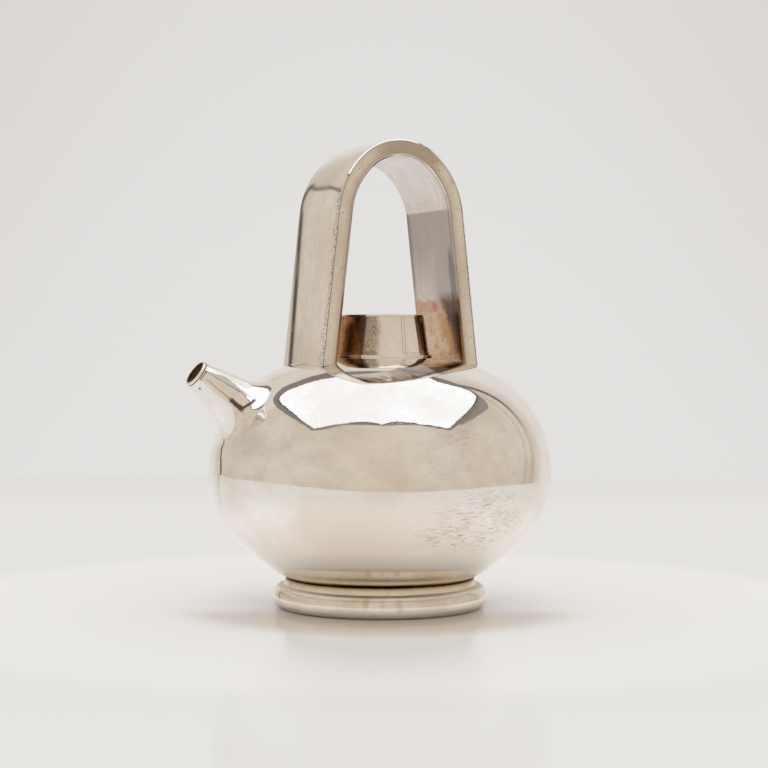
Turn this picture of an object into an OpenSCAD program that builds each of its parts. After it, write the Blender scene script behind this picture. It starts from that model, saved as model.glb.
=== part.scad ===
// Silver teapot: a flattened round pot on a ring foot, with a short spout, a drum-shaped
// lift-off lid and a hollow strap handle that arches over the lid.
// The origin is the centre of the foot on the table. +Z is up, the spout points to -X.

/* [Pot] */
// Widest diameter of the pot
body_d = 140; // [136:1:150]
// Radius of the side curve above the widest line
side_r_upper = 45.7; // [42:0.1:50]
// Radius of the flat curve over the shoulder
crown_r = 160; // [140:1:200]
// Radius of the side curve below the widest line
side_r_lower = 40.2; // [36:0.1:44]
// Radius of the flat curve under the bowl
base_r = 83.4; // [78:0.1:95]
// Thickness of the sheet the pot is raised from
wall = 0.9; // [0.7:0.1:1.6]

/* [Foot] */
// Height of the crease between foot and bowl above the table
foot_h = 12.2; // [10.5:0.1:16]
// Outer diameter of the foot band at the crease
foot_neck_d = 76.6; // [70:0.2:84]
// How much wider the band is, in diameter, where the bead starts
foot_flare = 2.2; // [0:0.1:5]
// Thickness of the foot band
foot_band_t = 1.2; // [0.8:0.1:2]
// Radius of the half-round bead
foot_bead_r = 4.7; // [3.5:0.1:5]
// Thickness of the bead's sheet
foot_bead_t = 1; // [0.7:0.1:1.5]
// Depth of the flat that the bead stands on
foot_flat = 0.2; // [0.1:0.05:0.5]

/* [Neck] */
// Inside diameter of the neck collar
neck_bore_d = 33; // [28:0.5:36]
// Thickness of the neck collar
neck_t = 1; // [0.7:0.1:1.5]
// Depth of the neck collar below the lid's seat
neck_depth = 9; // [6:0.5:12]
// Width of the flat seat around the collar
seat_w = 3.8; // [3:0.1:5]
// Height of the seat's outer edge above the shoulder
seat_h = 0.8; // [0.5:0.1:2]

/* [Lid] */
// Height of the lid above its seat, at the rim of its top
lid_h = 16.2; // [12:0.2:22]
// Outer diameter of the lid at its foot
lid_foot_d = 39.4; // [38:0.2:41]
// How much narrower the lid is, in diameter, at its top
lid_taper = 3.8; // [1:0.2:6]
// Thickness of the lid's sheet
lid_t = 0.9; // [0.7:0.1:1.3]
// Rise of the lid's domed top
lid_dome = 0.8; // [0.3:0.1:2]
// How far the lid's base plate stands out past its wall
lid_lip = 0.3; // [0.1:0.1:0.8]
// Depth of the bezel that reaches into the neck
bezel_depth = 8; // [5:0.5:10]
// Thickness of the bezel
bezel_t = 0.9; // [0.7:0.1:1.3]
// Clearance between bezel and collar, on the radius
lid_gap = 0.2; // [0.1:0.05:0.4]

/* [Spout] */
// Length of the spout along its axis, from the pot's surface to the mouth
spout_len = 23.4; // [20:0.2:32]
// Angle of the spout above the horizontal
spout_angle = 36.2; // [32:0.2:40]
// Outer diameter of the spout's tube behind the lip
spout_mouth_d = 11.2; // [9:0.1:14]
// Thickness of the tube at the mouth
spout_t = 0.85; // [0.7:0.05:1.5]
// Half-angle of the tube's taper
spout_taper = 14.4; // [10:0.2:16]
// Radius of the hollow curve that blends the spout into the pot
spout_fillet = 12; // [8:0.5:14]
// Height of the lip ring at the mouth
lip_h = 1.2; // [0.8:0.1:2]
// How far the lip stands out past the tube
lip_out = 0.15; // [0.05:0.05:0.5]
// Diameter of the strainer behind the spout
strainer_d = 20; // [18:0.5:21]
// Diameter of each strainer hole
strainer_hole_d = 2.4; // [1.8:0.1:3]
// Distance between strainer holes
strainer_pitch = 3.9; // [3.4:0.1:4.1]

/* [Handle] */
// Height of the handle's top above the table
handle_top = 189.2; // [180:0.2:200]
// Outer radius of the handle's crown
handle_crown_r = 25; // [24:0.1:28]
// Outer radius of the handle's haunches
handle_haunch_r = 35.2; // [30:0.1:42]
// Angle, from the horizontal, where the crown meets the haunch
handle_crown_angle = 47; // [40:0.5:55]
// Outward lean of the legs
handle_lean = 6.4; // [4:0.1:8]
// Width of the strap from front to rear
handle_w = 40; // [34:0.5:46]
// Thickness of the hollow strap
handle_t = 6.9; // [5.5:0.1:8]
// Thickness of the sheet the strap is made of
handle_sheet = 0.9; // [0.7:0.1:1.4]

/* [Hidden] */
$fn = 144;
arc_error = 0.01;   // how far the straight steps of a profile's arc may lie inside it
solder_gap = 0.03;  // gap, filled by solder, between fixed pieces whose curved faces meet
bury = 8;           // how deep a piece starts inside the pot before the pot's shape is cut off it
past = 1;           // how far a cutting shape runs past each face that it cuts

// Points of an arc about c, from angle a0 to a1, with or without its first point
function arc(c, r, a0, a1, first = 0) =
  let (n = ceil(abs(a1 - a0) / (2 * acos(1 - arc_error / r))))
  [for (i = [first:n]) let (a = a0 + (a1 - a0) * i / n) c + r * [cos(a), sin(a)]];
function reversed(path) = [for (i = [len(path) - 1:-1:0]) path[i]];

// Pot profile: four arcs that meet without a corner
body_r = body_d / 2;
upper_side_x = body_r - side_r_upper;
lower_side_x = body_r - side_r_lower;
crown_drop = sqrt(pow(crown_r - side_r_upper, 2) - pow(upper_side_x, 2));
base_rise = sqrt(pow(base_r - side_r_lower, 2) - pow(lower_side_x, 2));
foot_neck_r = foot_neck_d / 2;
belly_z = foot_h - base_rise + sqrt(pow(base_r, 2) - pow(foot_neck_r, 2));
crown_z = belly_z - crown_drop;   // height of the crown arc's centre
base_z = belly_z + base_rise;     // height of the base arc's centre
crown_a = atan2(crown_drop, upper_side_x);
base_a = atan2(base_rise, lower_side_x);
function shoulder_z(r) = crown_z + sqrt(pow(crown_r, 2) - pow(r, 2));
// Profile at depth d under the surface, from the widest line up to radius r0
function shoulder_path(d, r0) = concat(
  arc([upper_side_x, belly_z], side_r_upper - d, 0, crown_a),
  arc([0, crown_z], crown_r - d, crown_a, acos(r0 / (crown_r - d)), 1)
);
// Profile at depth d under the surface, from the middle of the bottom up to the widest line
function bowl_path(d) = concat(
  arc([0, base_z], base_r - d, -90, -base_a),
  arc([lower_side_x, belly_z], side_r_lower - d, -base_a, 0, 1)
);

// Foot
foot_r = foot_neck_r + foot_flare / 2;
bead_z = foot_bead_r - foot_flat;
bead_top = bead_z + foot_bead_r;
bead_foot_a = -asin(bead_z / foot_bead_r);   // where the bead's curve meets the table

// Neck and lid
neck_r = neck_bore_d / 2;
collar_r = neck_r + neck_t;
seat_r = collar_r + seat_w;
seat_z = shoulder_z(seat_r) + seat_h;
lid_foot_r = lid_foot_d / 2;
lid_top_r = lid_foot_r - lid_taper / 2;
lid_top_z = seat_z + lid_h;
dome_r = (pow(lid_top_r, 2) + pow(lid_dome, 2)) / (2 * lid_dome);
dome_c = [0, lid_top_z + lid_dome - dome_r];
function lid_under_z(r) = dome_c.y + sqrt(pow(dome_r - lid_t, 2) - pow(r, 2));
bezel_r = neck_r - lid_gap;

// Spout: its axis stands square on the pot's side arc, and s is the distance along the axis
// from the pot's surface. Directions around the axis are measured from its upper side.
mouth_r = spout_mouth_d / 2;
spout_bore_r = mouth_r - spout_t;
strainer_r = strainer_d / 2;
lip_s = spout_len - lip_h;
lip_r = mouth_r + lip_out;
bore_s = lip_s - (strainer_r - spout_bore_r) / tan(spout_taper);
spout_turns = 48;    // sections around the spout
blend_rows = 10;     // steps along the blend in each section
seat_rows = 3;       // steps across the spout's seat on the pot
seat_tries = 9;      // steps that bring a seat point onto the pot's surface
strainer_rings = 2;  // rings of holes around the strainer's middle hole
hole_facets = 24;    // sides of each strainer hole
// Radius of the pot's surface in the plane at direction a, from its two main curvatures
around_r = side_r_upper + upper_side_x / cos(spout_angle);
function pot_r(a) = 1 / (pow(cos(a), 2) / side_r_upper + pow(sin(a), 2) / around_r);
// Distance of a point near the spout from the pot's surface, and the s that makes it none
function off_pot(x, y, s) =
  let (out = upper_side_x + (side_r_upper + s) * cos(spout_angle) - x * sin(spout_angle),
       up = (side_r_upper + s) * sin(spout_angle) + x * cos(spout_angle))
  norm([norm([out, y]) - upper_side_x, up]) - side_r_upper;
function pot_s(x, y, s = 0, tries = seat_tries) =
  tries == 0 ? s : pot_s(x, y, s - off_pot(x, y, s), tries - 1);
// Centre of the blend's arc at direction a: it touches the tube's cone and the pot
function blend_c(a) =
  let (start = [mouth_r, lip_s] + spout_fillet * [cos(spout_taper), sin(spout_taper)],
       down = [sin(spout_taper), -cos(spout_taper)],
       from = start + [0, pot_r(a)],
       reach = pot_r(a) + spout_fillet)
  start + down * (-from * down - sqrt(pow(from * down, 2) - from * from + pow(reach, 2)));
// Section of the spout's wall at direction a, as [radius, s] points around the wall
function spout_section(a) =
  let (c = blend_c(a),
       end_a = 180 + atan2(c.y + pot_r(a), c.x),
       start_a = 180 + spout_taper,
       blend = [for (i = [0:blend_rows]) let (t = start_a + (end_a - start_a) * i / blend_rows)
                c + spout_fillet * [cos(t), sin(t)]],
       foot = blend[blend_rows].x,
       seat = [for (i = [0:seat_rows]) foot + (strainer_r - foot) * i / seat_rows])
  concat([[mouth_r, lip_s]], [for (i = [0:blend_rows - 1]) blend[i]],
         [for (r = seat) [r, pot_s(r * cos(a), r * sin(a)) + solder_gap]],
         [[strainer_r, bore_s], [spout_bore_r, lip_s]]);

// Handle: a crown arc, two haunch arcs and two straight legs that meet without a corner
crown_c = [0, handle_top - handle_crown_r];
crown_dir = [cos(handle_crown_angle), sin(handle_crown_angle)];
leg_dir = [cos(handle_lean), sin(handle_lean)];
haunch_c = crown_c - (handle_haunch_r - handle_crown_r) * crown_dir;
leg_len = haunch_c.y - shoulder_z(0) + 2 * bury;   // drawn into the pot, then cut to its surface
// Right half of the strap's outline at depth d under its outer face, from its foot up
function handle_half(d) = concat(
  [haunch_c + (handle_haunch_r - d) * leg_dir + leg_len * [leg_dir.y, -leg_dir.x]],
  arc(haunch_c, handle_haunch_r - d, handle_lean, handle_crown_angle),
  arc(crown_c, handle_crown_r - d, handle_crown_angle, 90, 1)
);
// Whole outline at depth d, from the right foot over the crown to the left foot
function handle_path(d) =
  let (half = handle_half(d))
  concat(half, [for (i = [len(half) - 2:-1:0]) [-half[i].x, half[i].y]]);

// ---------- shared shapes ----------

// The shoulder's sheet, before it is pierced
module shoulder_sheet() {
  rotate_extrude()
    polygon(concat(shoulder_path(0, collar_r), reversed(shoulder_path(wall, collar_r))));
}

// The pot above its widest line, filled, used to fit pieces to the shoulder's sheet
module shoulder_solid() {
  translate([0, 0, solder_gap])
    rotate_extrude()
      polygon(concat([[0, belly_z]], shoulder_path(0, collar_r), [[0, shoulder_z(collar_r)]]));
}

// Moves children so that z = 0 is the seat that the lid rests on
module on_seat() {
  translate([0, 0, seat_z])
    children();
}

// Moves children so that their Z axis is the spout's axis and z = 0 is the pot's surface
module on_spout_axis() {
  translate([-upper_side_x, 0, belly_z])
    rotate([0, spout_angle - 90, 0])
      translate([0, 0, side_r_upper])
        children();
}

// Round post about the spout's axis that passes through the pot's wall
module through_wall(r) {
  on_spout_axis()
    translate([0, 0, -bury])
      cylinder(r = r, h = 2 * bury);
}

// Sheet of the handle between two depths and from y0 to y1, its legs fitted to the shoulder
module handle_part(d_out, d_in, y0, y1) {
  difference() {
    translate([0, y1, 0])
      rotate([90, 0, 0])
        linear_extrude(y1 - y0)
          polygon(concat(handle_path(d_out), reversed(handle_path(d_in))));
    shoulder_solid();
  }
}

// ---------- pot ----------

module bowl() {
  color("silver")
    rotate_extrude()
      polygon(concat(bowl_path(0), reversed(bowl_path(wall))));
}

module shoulder() {
  color("silver")
    difference() {
      shoulder_sheet();
      through_wall(strainer_r);
    }
}

// Upright band that carries the pot, its top cut to the bowl's underside
module foot_band() {
  color("silver")
    rotate_extrude()
      difference() {
        polygon([
          [foot_r - foot_band_t, 0], [foot_r, 0], [foot_r, bead_top], [foot_neck_r, foot_h],
          [foot_neck_r - foot_band_t, foot_h], [foot_r - foot_band_t, bead_top]
        ]);
        polygon(concat(bowl_path(0), [[0, belly_z]]));
      }
}

// Hollow half-round moulding around the band, flattened where it stands
module foot_bead() {
  color("silver")
    rotate_extrude()
      polygon(concat(
        [[foot_r, 0]],
        arc([foot_r, bead_z], foot_bead_r, bead_foot_a, 90),
        arc([foot_r, bead_z], foot_bead_r - foot_bead_t, 90, -90)
      ));
}

// Tube soldered through the opening, which guides the lid's bezel
module neck_collar() {
  color("silver")
    on_seat()
      translate([0, 0, -neck_depth])
        difference() {
          cylinder(r = collar_r, h = neck_depth);
          translate([0, 0, -past])
            cylinder(r = neck_r, h = neck_depth + 2 * past);
        }
}

// Flat ring around the collar that the lid rests on, fitted to the shoulder
module lid_seat() {
  color("silver")
    difference() {
      on_seat()
        translate([0, 0, -bury])
          difference() {
            cylinder(r = seat_r, h = bury);
            translate([0, 0, -past])
              cylinder(r = collar_r, h = bury + 2 * past);
          }
      shoulder_solid();
    }
}

// ---------- spout ----------

// Tapered tube that blends into the pot, lofted through sections around its axis
module spout() {
  sections = [for (j = [0:spout_turns - 1]) spout_section(j * 360 / spout_turns)];
  rows = len(sections[0]);
  points = [for (j = [0:spout_turns - 1], p = sections[j])
            let (a = j * 360 / spout_turns) [p.x * cos(a), p.x * sin(a), p.y]];
  faces = [for (j = [0:spout_turns - 1], i = [0:rows - 1], half = [0, 1])
           let (next_j = (j + 1) % spout_turns, next_i = (i + 1) % rows)
           half == 0
             ? [j * rows + i, next_j * rows + next_i, j * rows + next_i]
             : [j * rows + i, next_j * rows + i, next_j * rows + next_i]];
  color("silver")
    on_spout_axis()
      polyhedron(points, faces, convexity = 6);
}

// Half-round ring soldered to the end of the tube
module spout_lip() {
  color("gainsboro")
    on_spout_axis()
      rotate_extrude()
        polygon(concat(
          [[spout_bore_r, spout_len], [spout_bore_r, lip_s]],
          arc([lip_r - lip_h / 2, lip_s + lip_h / 2], lip_h / 2, -90, 90)
        ));
}

// Pierced patch of the pot's wall behind the spout
module strainer() {
  color("darkgray")
    difference() {
      intersection() {
        shoulder_sheet();
        through_wall(strainer_r);
      }
      on_spout_axis()
        for (ring = [0:strainer_rings], i = [0:max(0, 6 * ring - 1)])
          rotate(ring == 0 ? 0 : i * 60 / ring)
            translate([ring * strainer_pitch, 0, -bury])
              cylinder(d = strainer_hole_d, h = 2 * bury, $fn = hole_facets);
    }
}

// ---------- handle ----------

module handle_outer_band() {
  color("silver")
    handle_part(0, handle_sheet, -handle_w / 2, handle_w / 2);
}

module handle_inner_band() {
  color("silver")
    handle_part(handle_t - handle_sheet, handle_t, -handle_w / 2, handle_w / 2);
}

module handle_front_plate() {
  color("gainsboro")
    handle_part(handle_sheet, handle_t - handle_sheet, -handle_w / 2, handle_sheet - handle_w / 2);
}

module handle_rear_plate() {
  color("gainsboro")
    handle_part(handle_sheet, handle_t - handle_sheet, handle_w / 2 - handle_sheet, handle_w / 2);
}

// ---------- lid ----------

module lid_wall() {
  color("silver")
    rotate_extrude()
      polygon([
        [lid_foot_r - lid_t, seat_z + lid_t], [lid_foot_r, seat_z + lid_t],
        [lid_top_r, lid_under_z(lid_top_r) - solder_gap],
        [lid_top_r - lid_t, lid_under_z(lid_top_r - lid_t) - solder_gap]
      ]);
}

// Slightly domed disc
module lid_top() {
  color("silver")
    rotate_extrude()
      polygon(concat(
        arc(dome_c, dome_r, acos(lid_top_r / dome_r), 90),
        arc(dome_c, dome_r - lid_t, 90, acos(lid_top_r / (dome_r - lid_t)))
      ));
}

// Flat ring that joins the lid's wall to its bezel and rests on the seat
module lid_base() {
  color("silver")
    on_seat()
      difference() {
        cylinder(r = lid_foot_r + lid_lip, h = lid_t);
        translate([0, 0, -past])
          cylinder(r = bezel_r - bezel_t, h = lid_t + 2 * past);
      }
}

// Tube that reaches down into the neck collar
module lid_bezel() {
  color("gainsboro")
    on_seat()
      translate([0, 0, -bezel_depth])
        difference() {
          cylinder(r = bezel_r, h = bezel_depth);
          translate([0, 0, -past])
            cylinder(r = bezel_r - bezel_t, h = bezel_depth + 2 * past);
        }
}

bowl();
shoulder();
foot_band();
foot_bead();
neck_collar();
lid_seat();
spout();
spout_lip();
strainer();
handle_outer_band();
handle_inner_band();
handle_front_plate();
handle_rear_plate();
lid_wall();
lid_top();
lid_base();
lid_bezel();
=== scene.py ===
# %% [markdown]
# # A silver teapot with an overhead strap handle
# The solids of the pot are already built and packed. They carry the true sizes, the lid's
# joint and the collision shapes. This lesson dresses them: mirror-smooth surfaces, old polished
# silver with its scratches and tarnish, and a small studio for the silver to reflect.
# Polished metal shows almost nothing of its own. What the eye reads as silver is the room around
# it, so the studio is as much a part of the finish as the material is.

# %% Load the fixed frame
from math import acos, atan2, ceil, cos, hypot, pi, radians, sin, sqrt, tan

import bmesh
import bpy
from mathutils import Matrix, Vector, noise


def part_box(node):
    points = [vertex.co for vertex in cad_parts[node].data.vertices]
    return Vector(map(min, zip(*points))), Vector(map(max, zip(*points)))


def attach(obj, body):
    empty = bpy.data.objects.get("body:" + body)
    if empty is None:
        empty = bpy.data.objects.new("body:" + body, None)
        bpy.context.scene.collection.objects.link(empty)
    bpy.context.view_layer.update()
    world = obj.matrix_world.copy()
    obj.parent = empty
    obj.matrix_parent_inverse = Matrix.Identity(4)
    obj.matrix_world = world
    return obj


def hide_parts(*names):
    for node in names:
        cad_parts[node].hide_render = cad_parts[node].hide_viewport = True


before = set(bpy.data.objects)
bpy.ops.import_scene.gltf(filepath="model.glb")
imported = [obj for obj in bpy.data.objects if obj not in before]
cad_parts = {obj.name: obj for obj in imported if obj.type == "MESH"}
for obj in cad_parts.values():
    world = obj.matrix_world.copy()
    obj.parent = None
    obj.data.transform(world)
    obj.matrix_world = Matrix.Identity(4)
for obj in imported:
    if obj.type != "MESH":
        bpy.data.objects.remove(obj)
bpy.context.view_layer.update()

scene = bpy.context.scene


def new_object(name, data):
    """Adds an object to the scene."""
    made = bpy.data.objects.new(name, data)
    scene.collection.objects.link(made)
    return made


# %% [markdown]
# ## The camera
# A long lens well away from the pot keeps the foot's ellipses shallow and the arch upright. The
# camera stands a little to the spout's side, at about the height of the lid, and looks down by
# little more than one degree. Its shift only moves the picture sideways.

# %% Camera
CAMERA_TURN = radians(25.016)
CAMERA_AWAY = 0.76135
CAMERA_HEIGHT = 0.10726
CAMERA_DIP = radians(1.241)
CAMERA_ROLL = radians(0.153)

UP = Vector((0, 0, 1))
ahead = Vector((sin(CAMERA_TURN), cos(CAMERA_TURN), 0))
right = Vector((cos(CAMERA_TURN), -sin(CAMERA_TURN), 0))
camera_data = bpy.data.cameras.new("camera")
camera_data.sensor_width = 36
camera_data.lens = 87.17
camera_data.shift_x = 0.00476
camera = new_object("camera", camera_data)
camera.matrix_world = (
    Matrix.Translation(-CAMERA_AWAY * ahead + CAMERA_HEIGHT * UP)
    @ Matrix.Rotation(-CAMERA_TURN, 4, "Z")
    @ Matrix.Rotation(pi / 2 - CAMERA_DIP, 4, "X")
    @ Matrix.Rotation(CAMERA_ROLL, 4, "Z")
)
scene.camera = camera
scene.view_settings.view_transform = "Standard"
print("camera:", round(camera_data.lens), "mm lens,", CAMERA_AWAY, "m away")

# %% [markdown]
# ## Small helpers for node trees
# Materials, the world and geometry trees are all graphs. One short class adds a node, sets its
# plain values and links its inputs in a single call. Another stands for a number that the graph
# works out, and arithmetic on it adds the nodes. So each finish below reads as a recipe.

# %% Node helpers
def linear(red, green, blue):
    """A colour given as it looks on a screen, 0 to 255, as the linear values that nodes use."""
    def one(v):
        v = v / 255
        return v / 12.92 if v <= 0.04045 else ((v + 0.055) / 1.055) ** 2.4
    return (one(red), one(green), one(blue), 1)


class Value:
    """A number that a graph works out. Arithmetic on it adds nodes to the same graph."""

    def __init__(self, graph, socket):
        self.graph = graph
        self.socket = socket

    def __mul__(self, other):
        return self.graph.math("MULTIPLY", self, other)

    def __add__(self, other):
        return self.graph.math("ADD", self, other)

    def __sub__(self, other):
        return self.graph.math("SUBTRACT", self, other)

    def __rsub__(self, other):
        return self.graph.math("SUBTRACT", other, self)

    def __abs__(self):
        return self.graph.math("ABSOLUTE", self)


class Graph:
    """Adds nodes to one tree. An input takes a number, a vector, a colour, a socket or a Value."""

    def __init__(self, tree):
        self.tree = tree

    def add(self, kind, inputs=None, **settings):
        node = self.tree.nodes.new(kind)
        for name, value in settings.items():
            setattr(node, name, value)
        for name, value in (inputs or {}).items():
            if isinstance(value, Value):
                value = value.socket
            if isinstance(value, bpy.types.NodeSocket):
                self.tree.links.new(value, node.inputs[name])
            else:
                node.inputs[name].default_value = value
        return node

    def number(self, kind, inputs, out=0, **settings):
        """Adds a node and gives one of its outputs as a Value."""
        return Value(self, self.add(kind, inputs, **settings).outputs[out])

    def math(self, operation, *values):
        return self.number("ShaderNodeMath", dict(enumerate(values)), operation=operation)

    def vector(self, operation, *values):
        node = self.add("ShaderNodeVectorMath", dict(enumerate(values)), operation=operation)
        return node.outputs[0]

    def dot(self, one, other):
        return self.number("ShaderNodeVectorMath", {0: one, 1: other}, 1, operation="DOT_PRODUCT")

    def length(self, value):
        return self.number("ShaderNodeVectorMath", {0: value}, 1, operation="LENGTH")

    def larger(self, one, other):
        return self.math("MAXIMUM", one, other)

    def smaller(self, one, other):
        return self.math("MINIMUM", one, other)

    def step(self, value, low, high, to_low=0.0, to_high=1.0):
        """Rises smoothly from to_low to to_high while value goes from low to high."""
        inputs = {"Value": value, "From Min": low, "From Max": high,
                  "To Min": to_low, "To Max": to_high}
        return self.number("ShaderNodeMapRange", inputs, interpolation_type="SMOOTHSTEP")

    def window(self, value, low, high, soft):
        """Is 1 between two values and falls to 0 outside them."""
        rises = self.step(value, low - soft, low + soft)
        return rises * self.step(value, high + soft, high - soft)

    def noise(self, place, scale, detail=3.0, roughness=0.55, stretch=(1, 1, 1)):
        """Soft noise from 0 to 1; scale is in features a metre, stretched along each axis."""
        place = self.vector("MULTIPLY", place, stretch)
        inputs = {"Vector": place, "Scale": scale, "Detail": detail, "Roughness": roughness}
        return self.number("ShaderNodeTexNoise", inputs)

    def mix(self, share, one, other):
        """Goes from colour one to colour other as share goes from 0 to 1."""
        return self.add("ShaderNodeMix", {0: share, 6: one, 7: other}, data_type="RGBA").outputs[2]

# %% [markdown]
# ## The studio
# The pot stands on a pale, slightly glossy table. A large softbox hangs over it, and its frame
# draws the dark outline round the white patch on the shoulder. In front lies the rest of the
# room, which silver shows as a warm grey, and behind hangs a pale backdrop whose upright edges
# draw thin dark lines down the belly. The room is a world shader that reads only the direction.
# A reflected ray sees the room, a camera ray sees the plain backdrop, and a diffuse ray sees an
# even white light, so colours stay as they are written.

# %% Room and backdrop
BACKDROP = linear(227, 225, 223)
BACKDROP_CORNER = linear(217, 214, 212)
ROOM = linear(217, 208, 196)
ROOM_SHADE = linear(205, 195, 183)
ROOM_WARM = linear(222, 211, 194)
WALL_NEAR = linear(209, 200, 188)
WALL_FAR = linear(228, 224, 220)
CEILING = linear(212, 206, 202)
EDGE_LINE = linear(84, 70, 60)
LEFT_EDGE = radians(-132)
LEFT_LEAN = -0.75
LEDGE = radians(19.3)
LEDGE_RIPPLE = 0.05
LEDGE_END = radians(-114)
FLOOR_EDGE = radians(-4)
RIGHT_INNER = radians(112)
RIGHT_OUTER = radians(121.5)
RIGHT_LEAN = 0.42
HORIZON_LIGHT = 1.25
ZENITH_LIGHT = 0.78

world = bpy.data.worlds.new("room")
world.use_nodes = True
world.node_tree.nodes.clear()
scene.world = world
g = Graph(world.node_tree)
heading = g.add("ShaderNodeTexCoord").outputs["Generated"]
near = g.dot(heading, -ahead)
side = g.dot(heading, right)
rise = g.math("ARCSINE", g.dot(heading, UP))
turn = g.math("ARCTAN2", side, near)

left_edge = g.larger(rise, 0.0) * LEFT_LEAN + LEFT_EDGE
past_left = turn - left_edge
ripple = g.noise(heading, 30) * LEDGE_RIPPLE + (LEDGE - LEDGE_RIPPLE / 2)
under_ledge = ripple - rise
off_ledge = g.step(turn, LEDGE_END - 0.03, LEDGE_END + 0.03, 0, 3)
left_side = g.smaller(past_left, under_ledge + off_ledge)
right_side = rise * RIGHT_LEAN + RIGHT_OUTER - turn
right_inner = right_side - (RIGHT_OUTER - RIGHT_INNER)
inside = g.smaller(left_side, right_side)

clutter = g.step(g.noise(heading, 2.3, 2.0), 0.35, 0.65)
ahead_of_pot = g.step(abs(turn), radians(45), radians(8), 0.0, 0.5)
room = g.mix(ahead_of_pot, g.mix(clutter, ROOM_SHADE, ROOM), ROOM_WARM)
outside = g.mix(g.step(inside, -0.02, -0.35), WALL_NEAR, WALL_FAR)
outside = g.mix(g.step(rise, 0.5, 1.1), outside, CEILING)
walls = g.mix(g.step(inside, -0.03, 0.01), outside, room)
# the edges' dark lines: angle from the edge, half the line's width, and how dark it is
for distance, half_width, strength in (
        (past_left, 0.032, g.step(under_ledge, -0.05, 0.02)),
        (left_side, 0.024, g.step(under_ledge, 0.1, 0.05, 0.0, 0.72)),
        (right_side, 0.05, g.step(rise, 0.2, 0.65, 0.16, 0.85)),
        (right_inner, 0.05, 0.14)):
    line = g.step(abs(distance), half_width, half_width * 0.3)
    walls = g.mix(line * strength, walls, EDGE_LINE)
floor = g.step(rise, FLOOR_EDGE, FLOOR_EDGE - 0.02) * g.step(turn, LEDGE_END, LEDGE_END - 0.03)
walls = g.mix(floor, walls, WALL_FAR)

rays = g.add("ShaderNodeLightPath").outputs
corner = g.step(side * side * 6.0 + rise * 1.4, 0.05, 0.6)
backdrop = g.mix(corner, BACKDROP, BACKDROP_CORNER)
seen = g.mix(rays["Is Camera Ray"], walls, backdrop)
even = g.step(rise, 0.0, 1.2, HORIZON_LIGHT, ZENITH_LIGHT)
light = g.mix(g.larger(rays["Is Camera Ray"], rays["Is Glossy Ray"]), even, seen)
shine = g.add("ShaderNodeBackground", {"Color": light})
g.add("ShaderNodeOutputWorld", {"Surface": shine.outputs[0]})
print("room:", len(g.tree.nodes), "nodes")

# %% [markdown]
# ## The table
# The table's front edge is curved. Beyond it a reflected ray goes on to the room, so the belly's
# lower half shows the table with a clean round border. Close to the pot the table has a painted glow
# for the light that silver throws back on it, and in front of the foot a warm painted shadow darkens
# it for the camera.

# %% Stage helpers
def studio_point(side_way, toward, height):
    """A point as the camera sees it: to the right of the pot's axis, nearer than it, and up."""
    return side_way * right - toward * ahead + height * UP


def stage_card(name, outline, height, material, grow=0.0):
    """A level card of the studio, which isn't part of the pot, grown from its middle."""
    corners = []
    for corner in outline:
        point = Vector(corner)
        point += point.normalized() * grow
        corners.append(studio_point(point.x, point.y, height))
    mesh = bpy.data.meshes.new(name)
    mesh.from_pydata(corners, [], [range(len(corners))])
    mesh.materials.append(material)
    card = new_object(name, mesh)
    print(name, len(corners), "corners")
    return card


def new_material(name, graph=Graph):
    material = bpy.data.materials.new(name)
    material.use_nodes = True
    material.node_tree.nodes.clear()
    return material, graph(material.node_tree)

# %% Table
TABLE_MIDDLE = -0.12
TABLE_HALF = 0.56
TABLE_FRONT = 0.30
TABLE_BACK = -0.722
FLOOR_REACH = 3.0
FLOOR_DROP = 0.0001
TABLE_WHITE = linear(240, 239, 237)
TABLE_FAR = linear(228, 227, 226)
TABLE_SHADOW_TINT = linear(214, 203, 190)
TABLE_GLOW = linear(255, 250, 244)
# painted glow, as reflected rays and as camera rays see it, and a painted shadow in front of the
# foot, by distance from the pot's axis
SHEEN = 0.15
SHEEN_RISES = (0.042, 0.060)
SHEEN_FALLS = (0.07, 0.23)
SPILL = 0.05
SPILL_RING = (0.065, 0.195)
SHADOW_FADES = (0.092, 0.066)
SHADOW_FRONT = (0.005, 0.035)

material, g = new_material("table_lacquer")
place = g.add("ShaderNodeTexCoord").outputs["Object"]
across = g.dot(place, right)
toward = g.dot(place, -ahead)
reach = g.length(place)
round_front = g.add("ShaderNodeCombineXYZ", {
    0: g.math("DIVIDE", across - TABLE_MIDDLE, TABLE_HALF),
    1: g.math("DIVIDE", g.larger(toward, 0.0), TABLE_FRONT)}).outputs[0]
beyond = g.math("GREATER_THAN", g.length(round_front), 1.0)
rays = g.add("ShaderNodeLightPath").outputs
in_silver, seen = rays["Is Glossy Ray"], rays["Is Camera Ray"]
# painted glow near the pot for reflected rays, and painted light further out for camera rays
sheen = (g.step(reach, *SHEEN_RISES) - g.step(reach, *SHEEN_FALLS)) * SHEEN
sheen = g.larger(sheen, 0.0)
spill = g.window(reach, *SPILL_RING, 0.02) * seen * SPILL
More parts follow.
